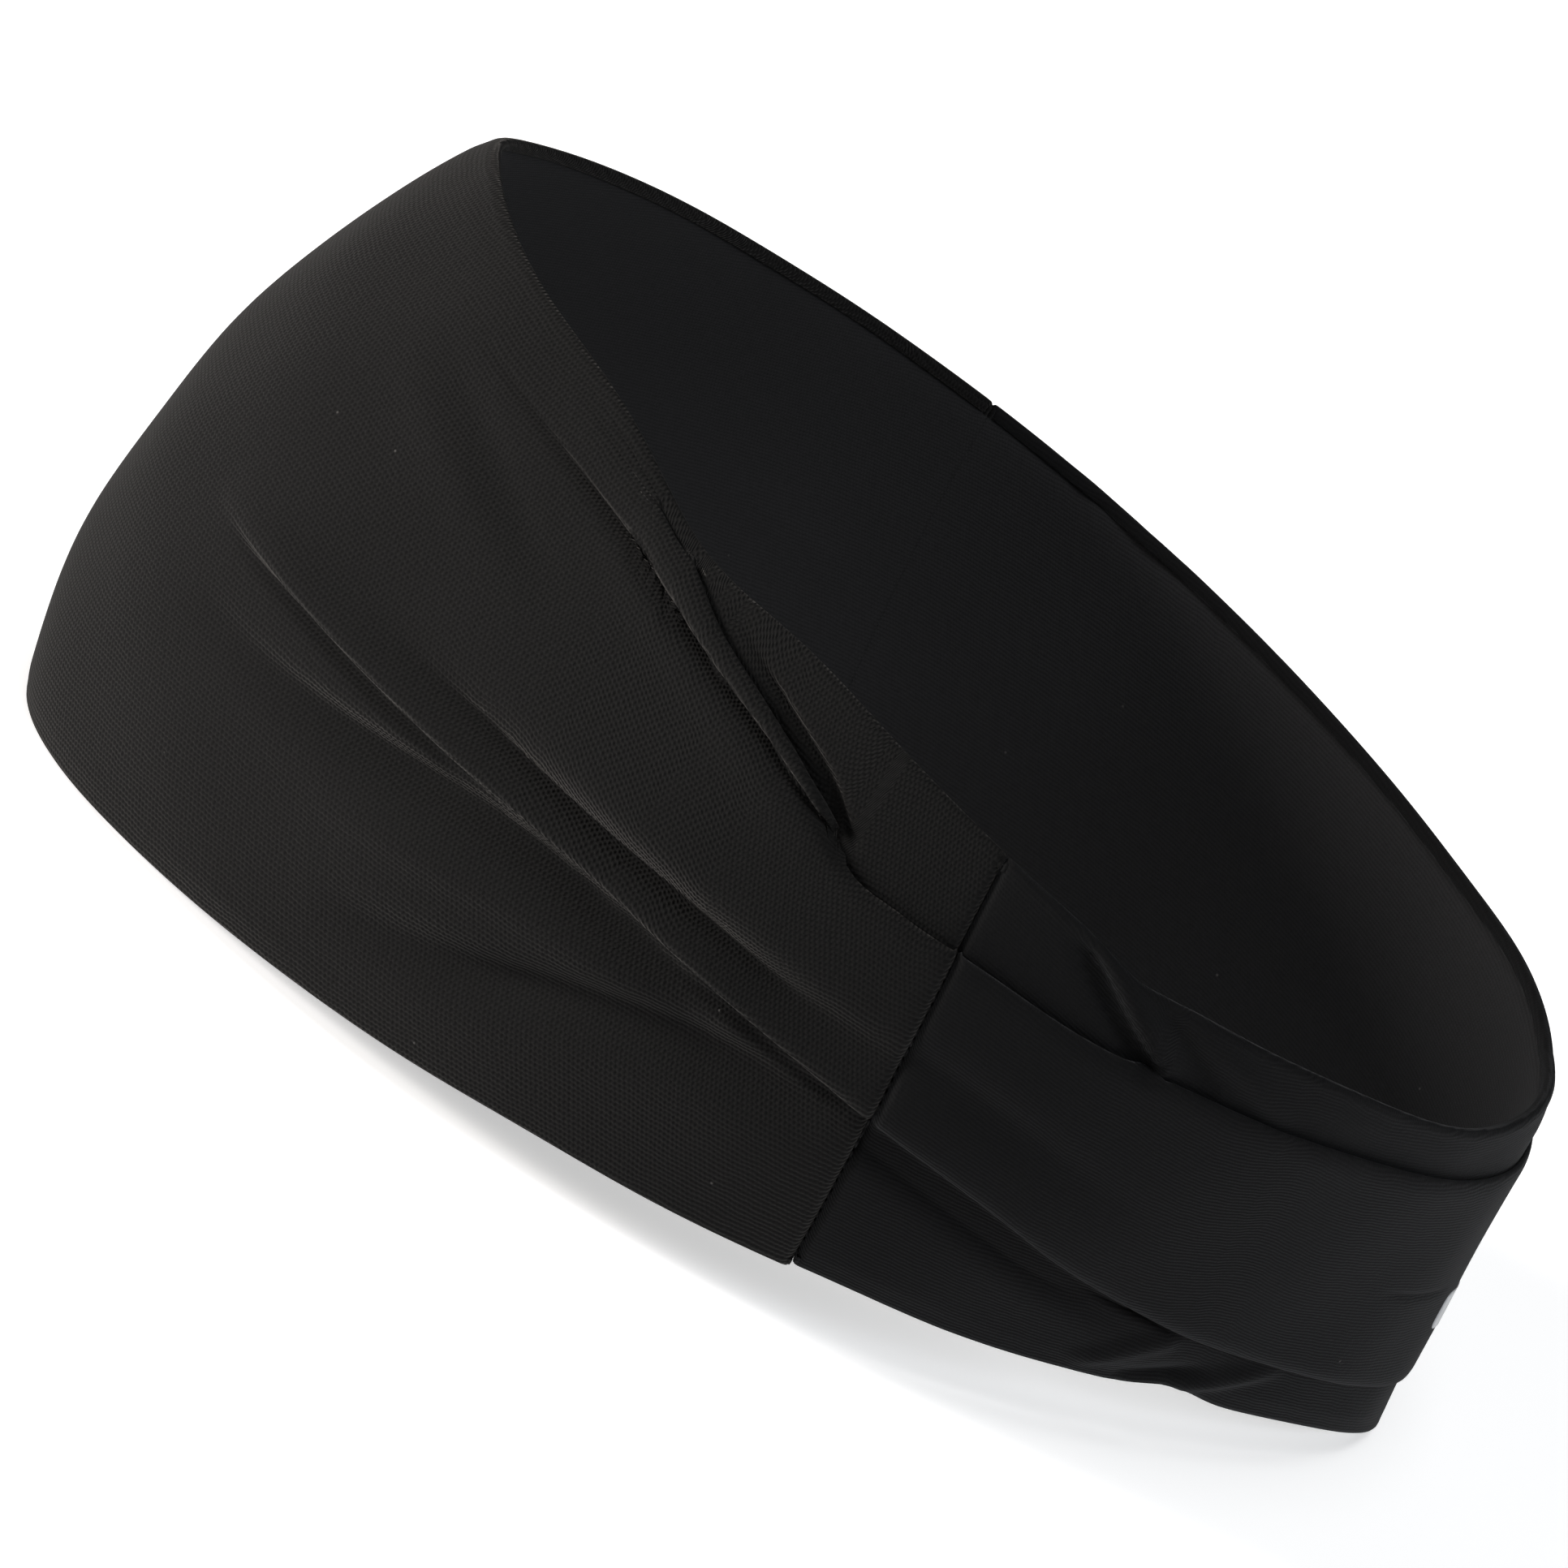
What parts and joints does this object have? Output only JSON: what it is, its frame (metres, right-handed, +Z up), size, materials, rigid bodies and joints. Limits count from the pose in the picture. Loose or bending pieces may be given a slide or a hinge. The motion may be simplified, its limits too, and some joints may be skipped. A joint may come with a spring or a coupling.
{
  "type": "sports headband",
  "caption": "Wide stretch headband with a broad knitted front, a pleated narrow back and a smooth lining, to be worn on the head in racket sports.",
  "frame": {"origin": "centre of the band's footprint, on the level that it stands on", "axes": "+Z up, -Y towards the forehead, +X towards the wearer's left"},
  "size_m": [0.1434, 0.197, 0.089],
  "materials": {
    "front_knit": "fine grid knit, matt black with a slight sheen",
    "back_knit": "smooth fine rib knit, matt black",
    "lining_knit": "smooth jersey, matt black",
    "thread": "black polyester sewing thread",
    "reflective_film": "thin reflective heat-transfer film, satin grey"
  },
  "bodies": {
    "root": {"front_shell": "front_knit", "front_lining": "lining_knit", "back_shell": "back_knit", "back_lining": "lining_knit", "left_seam_thread": "thread", "right_seam_thread": "thread", "front_top_edge_thread": "thread", "front_bottom_edge_thread": "thread", "back_top_edge_thread": "thread", "back_bottom_edge_thread": "thread", "back_mark": "reflective_film"}
  },
  "joints": []
}
